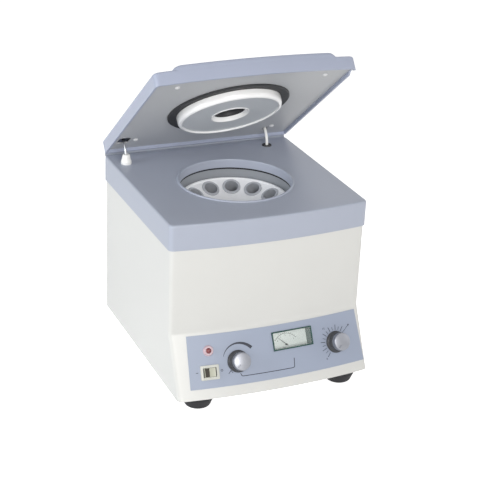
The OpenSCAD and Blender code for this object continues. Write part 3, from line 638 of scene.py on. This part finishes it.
def printed(path, width):
    """A printed line on the panel: a path across and down, as wide as the width at each of its points. Long
    stretches are cut into short ones, so that the line keeps to the bow."""
    path = np.asarray(path, float)
    reach = np.concatenate([[0], np.cumsum(np.linalg.norm(np.diff(path, axis=0), axis=1))])
    stops = np.union1d(reach, np.arange(0, reach[-1], 3))
    width = np.interp(stops, reach, np.broadcast_to(width, len(path)))
    path = np.column_stack([np.interp(stops, reach, path[:, i]) for i in (0, 1)])
    along = np.gradient(path, axis=0)
    side = np.column_stack([-along[:, 1], along[:, 0]]) / np.linalg.norm(along, axis=1)[:, None]
    side *= width[:, None] / 2
    edges = [np.column_stack([p, np.full(len(p), lift)])
             for lift in (PANEL_TOP + PRINT_T, PANEL_TOP - PRINT_T) for p in (path - side, path + side)]
    flat = [on_slope(e) for e in edges]
    return plate(np.stack(flat[:2]), np.stack(flat[2:]))


def round_knob(at, radius, degrees):
    """Points across and down at a distance from a knob's axis; 0 degrees is straight up the slope."""
    a = np.radians(degrees)
    return np.column_stack([at[0] + radius * np.sin(a), at[1] - radius * np.cos(a)])


def figure(text, size):
    """The closed solid of a figure in Blender's plain font, its middle at 0, in millimetres."""
    curve = bpy.data.curves.new("figure", "FONT")
    curve.body = text
    curve.size = size
    curve.extrude = PRINT_T
    curve.align_x = "CENTER"
    curve.align_y = "CENTER"
    curve.resolution_u = 3
    source = bpy.data.objects.new("figure", curve)
    bpy.context.scene.collection.objects.link(source)
    mesh = source.to_mesh()
    points = np.zeros(len(mesh.vertices) * 3)
    mesh.vertices.foreach_get("co", points)
    faces = [list(p.vertices) for p in mesh.polygons]
    bpy.data.objects.remove(source)
    return points.reshape(-1, 3), faces


def figure_on_panel(text, size, at):
    """A figure laid on the panel, upright up the slope."""
    points, faces = figure(text, size)
    across, up_slope, lift = points.T
    return on_slope(np.column_stack([at[0] + across, at[1] - up_slope, PANEL_TOP + lift])), faces


panel_blue = finish("panel_blue", screen(154, 163, 182), 0.42, tone=0.04, grain=0.5, depth=0.004,
                    stretch=(0.08, 1, 1))
print_ink = finish("print_ink", screen(36, 40, 54), 0.5, tone=0.2, blotch=3)
sweep = np.linspace(0, 1, 48)
leader = [(-55, 67), (-53.8, 70.4), (-52, 71.4), (28.4, 71.6), (30.8, 70.4), (32, 57.5)]
timer_ticks = np.linspace(-141, 50.7, 14)
marks = [
    printed(np.vstack([round_knob(SPEED_AT, 23 + 5.8 * t, np.array([120 * t - 66])) for t in sweep]),
            0.6 + 4.2 * sweep ** 1.3),
    printed([(-73, 65.5), (-69, 60.8), (-66.5, 65)], 0.9),
    printed(leader, 1.1),
    printed([(-121.5, 59), (-118, 59)], 0.9),
    printed(round_knob((-82.5, 59), 1.4, np.linspace(0, 350, 25)), 0.8),
    *(printed(np.vstack([round_knob(TIMER_AT, r, np.array([a])) for r in (18, 23 if i % 2 else 25.5)]),
              0.7 if i % 2 else 0.9) for i, a in enumerate(timer_ticks)),
    printed(np.vstack([round_knob(TIMER_AT, r, timer_ticks[-1:]) for r in (23, 32)]), 0.6),
    printed(np.vstack([round_knob(TIMER_AT, r, timer_ticks[-1:]) for r in (32, 34)]), 2),
    *(figure_on_panel(str(n), 4.4, round_knob(TIMER_AT, 29, timer_ticks[i:i + 1])[0])
      for n, i in [(0, 0), (15, 7)]),
]
dress(panel_blue, "control_panel")
piece("panel_print", marks, "case", print_ink)
round_hole = turned([(0, -HOLE_REACH), (HOLE_R, -HOLE_REACH), (HOLE_R, HOLE_REACH), (0, HOLE_REACH)], 48)
cut_out(case_body, [
    *(on_front(round_hole, at) for at in (LAMP_AT, SPEED_AT, TIMER_AT)),
    on_front(box(-SWITCH_HOLE, SWITCH_HOLE), SWITCH_AT),
    on_front(box(-METER_HOLE, METER_HOLE), METER_AT)])


# The knobs are moulded in dark plastic, with a flared skirt and a fluted grip, and a turned aluminium cap
# with a pointer groove is pressed on to each. They turn on the shafts behind the panel.
KNOB_SEAT = 2.2
SKIRT_R = 16.5
GRIP_R = 14.6
CAP_R = 13.5
GRIP_TOP = 12.5
CAP_TOP = 21.4
FLUTES = 32
POINTER = 135


def knob_grip():
    """The moulded part: a turned profile whose grip is drawn in by a row of round flutes."""
    profile = [(3.2, 1.0), (9, 1.0), (9, 0), (SKIRT_R - 0.5, 0), (SKIRT_R, 0.4), (SKIRT_R - 0.4, 1.8),
               (SKIRT_R - 1.3, 3.0), (GRIP_R + 0.2, 3.9), (GRIP_R, 4.6), (GRIP_R - 0.2, 8),
               (GRIP_R - 0.5, 11.8), (GRIP_R - 1.1, GRIP_TOP), (11.6, GRIP_TOP), (11.6, 18), (3.2, 18)]
    points, faces = turned(profile, 8 * FLUTES)
    radius = np.hypot(points[:, 0], points[:, 1])
    wave = 0.5 - 0.5 * np.cos(np.arctan2(points[:, 1], points[:, 0]) * FLUTES)
    gripped = (points[:, 2] > 4) & (radius > 12)
    points[:, :2] *= (1 - gripped * 0.65 * wave / np.maximum(radius, 1))[:, None]
    return points, faces


def knob_cap():
    """The turned cap: a straight wall, a rounded shoulder and a slightly domed face, with a groove pressed
    in from the edge to point at the scale."""
    a = np.linspace(0, np.pi / 2, 8)
    shoulder = np.column_stack([CAP_R - 2.2 + 2 * np.cos(a), CAP_TOP - 3.1 + 2 * np.sin(a)])
    inward = np.linspace(0.1, 1, 14)
    face = np.column_stack([(CAP_R - 2.2) * (1 - inward), CAP_TOP - 1.1 * (1 - inward) ** 2])
    points, faces = turned(np.vstack([[(0, 18.3), (11.7, 18.3), (11.7, GRIP_TOP + 0.1)],
                                      [(CAP_R, GRIP_TOP + 0.1)], shoulder, face]), 144)
    points = points @ about("Z", -POINTER)
    side, reach = np.abs(points[:, 1]), points[:, 0]
    points[:, 2] -= ((side < 0.75) & (reach > 5.5) & (points[:, 2] > CAP_TOP - 2.1)) * 0.7
    return points @ about("Z", POINTER), faces


knob_dark = finish("knob_dark", screen(62, 62, 64), 0.42, tone=0.15, blotch=7, grain=0.4, depth=0.015)
for name, at in [("speed", SPEED_AT), ("timer", TIMER_AT)]:
    cap_metal = finish(f"{name}_cap_metal", screen(146, 148, 155), 0.38, tone=0.1, blotch=9, grain=0.35,
                       depth=0.004, Metallic=0.8)
    piece(f"{name}_grip", [on_front(knob_grip(), at, KNOB_SEAT)], f"{name}_knob", knob_dark,
          stands_for=[f"{name}_knob_skirt"])
    piece(f"{name}_cap", [on_front(knob_cap(), at, KNOB_SEAT)], f"{name}_knob", cap_metal,
          stands_for=[f"{name}_knob_cap"])


# The power switch is a snap-in rocker: an ivory frame with a deep edge and a dark well, and a dished ivory
# rocker whose left half is covered by a dark strip, painted shade that stands for the shadow on that half.
SWITCH_LIFT = 1.45
SWITCH_RIM = (14, 10.75)
SWITCH_BODY = (11, 8)
SWITCH_OPENING = (10, 6.8)
ROCKER_HALF = 6.5


def bar(profile, low, high):
    """A closed bar: an outline in the XZ plane, carried straight from one Y to another."""
    profile = np.asarray(profile, float)
    loops = [np.column_stack([profile[:, 0], np.full(len(profile), y), profile[:, 1]]) for y in (low, high)]
    count = len(profile)
    i = np.arange(count)
    sides = np.stack([i, (i + 1) % count, (i + 1) % count + count, i + count], axis=1).tolist()
    return np.concatenate(loops), [*sides, i[::-1].tolist(), (i + count).tolist()]


def round_rectangle(half, corner):
    """Points round a rectangle: arcs of a circle, pushed out to its four corners."""
    a = np.linspace(0, 2 * np.pi, 48, endpoint=False)
    way = np.column_stack([np.cos(a), np.sin(a)])
    return np.sign(way) * (np.asarray(half) - corner) + way * corner


def frame_ring(half, corner, inner, heights):
    """A rectangular frame with round corners: its outer plan and its opening, joined at two heights."""
    low, high = heights
    outer, opening = round_rectangle(half, corner), round_rectangle(inner, 0.5)
    return ring_of([
        at_height(outer, low), at_height(outer, high - 0.5),
        at_height(round_rectangle(np.subtract(half, 0.15), corner), high - 0.15),
        at_height(round_rectangle(np.subtract(half, 0.5), corner), high),
        at_height(round_rectangle(np.add(inner, 0.4), 0.6), high), at_height(opening, high - 0.4),
        at_height(opening, low)])


ivory = finish("ivory", screen(200, 201, 194), 0.4, tone=0.05, blotch=6, grain=0.5)
rocker_ivory = finish("rocker_ivory", screen(184, 185, 168), 0.3, tone=0.05, blotch=6, Coat_Weight=0.2)
switch_well = finish("switch_well", screen(52, 48, 40), 0.6, tone=0.2, blotch=4)
x = np.linspace(-8.2, 8.5, 15)
crest = 2.35 - 0.085 * x + 0.022 * np.abs(x) ** 1.9 * np.where(x < 0, 1.15, 0.45)
rocker = np.vstack([np.column_stack([x, crest]), [(8.7, 1.2), (8, -2.4), (1.3, -2.4), (1.1, -1.4), (0, -1.0),
                                                   (-1.1, -1.4), (-1.3, -2.4), (-8, -2.4), (-8.8, 3.2)]])
piece("switch_bezel",
      [on_front(frame_ring(SWITCH_RIM, 1.5, SWITCH_OPENING, (0, 2)), SWITCH_AT, SWITCH_LIFT),
       on_front(frame_ring(SWITCH_BODY, 0.8, SWITCH_OPENING, (-20, 0.5)), SWITCH_AT, SWITCH_LIFT),
       on_front(box((-10.2, -7, -10), (10.2, 7, -9)), SWITCH_AT, SWITCH_LIFT)],
      "case", ivory, stands_for=["switch_frame"])
well = ring_of([at_height(round_rectangle(plan, 0.5), z) for plan, z in [
    ((9.98, 6.78), -8.9), ((9.98, 6.78), 1.2), ((9.78, 6.62), 1.2), ((9.78, 6.62), -8.9)]])
piece("switch_lining", [on_front(well, SWITCH_AT, SWITCH_LIFT)], "case", switch_well)
piece("rocker", [on_front(bar(rocker, -ROCKER_HALF, ROCKER_HALF), SWITCH_AT, SWITCH_LIFT)], "power_rocker",
      rocker_ivory, stands_for=["switch_rocker"], crease=25, rounded=0.3)
# The dark strip over the rocker's left half is painted shade: a sheet in the well's dark colour, laid where
# that half of the rocker lies in shadow.
shaded_half = x < -0.4
lens = np.vstack([np.column_stack([x, crest + 0.15])[shaded_half],
                  np.column_stack([x, crest - 0.6])[shaded_half][::-1]])
piece("rocker_painted_shade", [on_front(bar(lens, 0.3 - ROCKER_HALF, ROCKER_HALF - 0.3), SWITCH_AT, SWITCH_LIFT)],
      "power_rocker", switch_well, crease=25)


# The pilot lamp is a red faceted lens in a pale bezel with a rolled rim. It is pressed into the panel.
lamp_rim = finish("lamp_rim", screen(196, 172, 180), 0.3, tone=0.08, blotch=3, Coat_Weight=0.3)
lamp_red = finish("lamp_red", screen(118, 20, 28), 0.12, tone=0.25, blotch=2, Coat_Weight=0.6,
                  Subsurface_Weight=0.15, Subsurface_Scale=0.002)
lens_points, lens_faces = turned(
    [(0, 5.0), (1.4, 4.8), (2.6, 4.3), (3.5, 3.5), (4, 2.4), (4, -6), (0, -6)], 72)
ripple = np.cos(np.arctan2(lens_points[:, 1], lens_points[:, 0]) * 9) * (lens_points[:, 2] > 2.8)
lens_points[:, 2] += 0.12 * ripple * (np.hypot(lens_points[:, 0], lens_points[:, 1]) > 0.5)
piece("lamp_dome", [on_front((lens_points, lens_faces), LAMP_AT, 1.4)], "case", lamp_red,
      stands_for=["lamp_lens"])
dress(lamp_rim, "lamp_bezel")


# The speed meter is a panel instrument in a dark green case with a clear window. Its pale card carries a
# scale arc with ticks and figures, and a thin needle rests at the left end of it.
METER_LIFT = 1.45
DIAL_LIFT = METER_LIFT - 17
CARD_LIFT = DIAL_LIFT + 1
NEEDLE_AT = (-4, -8)


def on_card(path, width):
    """A printed line on the meter's card, given in the card's own plane."""
    path = np.asarray(path, float)
    along = np.gradient(path, axis=0)
    side = np.column_stack([-along[:, 1], along[:, 0]]) / np.linalg.norm(along, axis=1)[:, None] * width / 2
    faces = [np.stack([at_height(path - side, z), at_height(path + side, z)]) for z in (0.06, -0.06)]
    return on_front(plate(*faces), METER_AT, CARD_LIFT)


def card_arc(radius, degrees):
    """Points on the card at a distance from the needle's pivot; 0 degrees is straight up."""
    a = np.radians(degrees)
    return np.column_stack([NEEDLE_AT[0] + 1.15 * radius * np.sin(a), NEEDLE_AT[1] + radius * np.cos(a)])


def card_figure(text, at):
    """A small figure on the card."""
    points, faces = figure(text, 3.0)
    return on_front((points + (at[0], at[1], 0), faces), METER_AT, CARD_LIFT)


meter_green = finish("meter_green", screen(20, 66, 60), 0.25, tone=0.15, blotch=12, Coat_Weight=0.4)
card = finish("card", screen(236, 243, 240), 0.5, tone=0.03, blotch=10)
window = finish("window", screen(236, 246, 244), 0.05, tone=0.02, depth=0.001, Alpha=0.06)
needle_black = finish("needle_black", screen(26, 26, 30), 0.45, tone=0.2, blotch=3)
scale_turn = np.linspace(-60, 60, 13)
scale_marks = [
    on_card(card_arc(16.5, np.linspace(-62, 62, 30)), 0.45),
    *(on_card(np.concatenate([card_arc(r, np.array([a])) for r in (16.3, 18.6 if i % 3 == 0 else 17.6)]), 0.4)
      for i, a in enumerate(scale_turn)),
    *(card_figure(str(n), card_arc(13.4, np.array([a]))[0]) for n, a in enumerate(scale_turn[::3])),
]
piece("card_print", scale_marks, "case", needle_black)
shaft = moved(turned([(0, 4), (1.2, 4), (1.2, -4), (3.2, -4), (3.2, -9), (0, -9)], 40), to=(*NEEDLE_AT, 0))
tip = [(x, y, z) for x, y in [(-0.55, -3), (0.55, -3), (0.12, 17.6), (-0.12, 17.6)] for z in (2.8, 3.2)]
blade = (np.array(tip) @ about("Z", 48).T + (*NEEDLE_AT, 0),
         [[0, 2, 4, 6], [1, 7, 5, 3], [0, 1, 3, 2], [2, 3, 5, 4], [4, 5, 7, 6], [6, 7, 1, 0]])
piece("needle_blade", [on_front(shaft, METER_AT, DIAL_LIFT), on_front(blade, METER_AT, DIAL_LIFT)], "needle",
      needle_black, stands_for=["meter_needle"])
dress(meter_green, "meter_case")
dress(card, "meter_dial")
dress(window, "meter_window")


# The mains inlet is a black socket with three blades in its recess, and beside it the fuse holder has a
# fluted cap with a slot. Both are clipped into the rear panel.
INLET = (95, CASE_BACK, 70)
FUSE = (40, CASE_BACK - SHEET, 70)
blade_metal = finish("blade_metal", screen(196, 192, 178), 0.25, tone=0.1, blotch=4, Metallic=1)
blades = [moved(box((-1, -15, -2), (1, -2, 2)), np.eye(3), np.add(INLET, (x, 0, z)))
          for x, z in [(-6.5, -1.8), (0, 2), (6.5, -1.8)]]
piece("inlet_blades", blades, "case", blade_metal, rounded=0.5)
cap_points, cap_faces = turned(
    [(0, -26), (7, -26), (7, 0), (9, 0), (9, 1.2), (8.6, 1.6), (8.4, 5.2), (7.8, 6),
     *((r, 6) for r in np.linspace(6.8, 0.6, 9)), (0, 6)], 96)
cap_r = np.hypot(cap_points[:, 0], cap_points[:, 1])
fluted = (cap_points[:, 2] > 1.5) & (cap_points[:, 2] < 5.5) & (cap_r > 8)
groove = np.cos(np.arctan2(cap_points[:, 1], cap_points[:, 0]) * 24) > 0
cap_points[:, :2] *= (1 - fluted * 0.04 * groove)[:, None]
cap_points[:, 2] -= ((np.abs(cap_points[:, 0]) < 0.8) & (cap_r < 6.9) & (cap_points[:, 2] > 5.9)) * 1.2
piece("fuse_cap", [moved((cap_points, cap_faces), about("X", -90), FUSE)], "case", black_plastic,
      stands_for=["fuse_holder"])
dress(black_plastic, "inlet_socket")


# The object stands on a plain white floor under soft studio light: a wide key lamp near the camera, a fill
# from the left, a weaker one from the right, and an even sky.
FLOOR_HALF = 12
FLOOR_GLOW = 0.75
SKY_LIGHT = 0.27


def on_seen_rays(tree, socket, operation, value):
    """Joins a strength to the rays that show a surface to the camera, straight, in metal or through glass:
    they are 1 and the light's own rays 0, and the operation sets them against the value."""
    rays = tree.nodes.new("ShaderNodeLightPath").outputs
    mirrored, shown, strength = (tree.nodes.new("ShaderNodeMath") for _ in range(3))
    mirrored.operation = shown.operation = "MAXIMUM"
    strength.operation = operation
    strength.inputs[1].default_value = value
    for source, target in [
        (rays["Is Camera Ray"], mirrored.inputs[0]), (rays["Is Glossy Ray"], mirrored.inputs[1]),
        (mirrored.outputs[0], shown.inputs[0]), (rays["Is Transmission Ray"], shown.inputs[1]),
        (shown.outputs[0], strength.inputs[0]), (strength.outputs[0], socket),
    ]:
        tree.links.new(source, target)


floor_mesh = bpy.data.meshes.new("floor")
floor_mesh.from_pydata([(x * FLOOR_HALF, y * FLOOR_HALF, 0) for x, y in [(-1, -1), (1, -1), (1, 1), (-1, 1)]],
                       [], [(0, 1, 2, 3)])
floor = bpy.data.objects.new("floor", floor_mesh)
bpy.context.scene.collection.objects.link(floor)
floor_white = finish("floor_white", screen(244, 244, 244), 0.9, tone=0.0, depth=0, Specular_IOR_Level=0.1)
floor_shade = floor_white.node_tree.nodes["Principled BSDF"]
floor_shade.inputs["Emission Color"].default_value = (1, 1, 1, 1)
on_seen_rays(floor_white.node_tree, floor_shade.inputs["Emission Strength"], "MULTIPLY", FLOOR_GLOW)
floor_mesh.materials.append(floor_white)


def lamp(name, place, size, power, colour=(1, 1, 1)):
    """A square area lamp, turned to face the object."""
    data = bpy.data.lights.new(name, "AREA")
    data.size = size
    data.energy = power
    data.color = colour
    thing = bpy.data.objects.new(name, data)
    place = Vector(place)
    thing.location = place
    thing.rotation_euler = (Vector((0, 0, 0.2)) - place).to_track_quat("-Z", "Y").to_euler()
    bpy.context.scene.collection.objects.link(thing)


lamp("key", (-0.5, -2.9, 1.5), 1.6, 60, (1, 0.985, 0.96))
lamp("left", (-2.6, -0.2, 0.9), 1.4, 36, (0.93, 0.97, 1))
lamp("right", (2.4, -1.0, 1.2), 1.4, 8)
sky = bpy.data.worlds.new("sky")
sky.use_nodes = True
sky.node_tree.nodes["Background"].inputs["Color"].default_value = (1, 1, 1, 1)
on_seen_rays(sky.node_tree, sky.node_tree.nodes["Background"].inputs["Strength"], "MAXIMUM", SKY_LIGHT)
bpy.context.scene.world = sky
bpy.context.scene.view_settings.view_transform = "Standard"
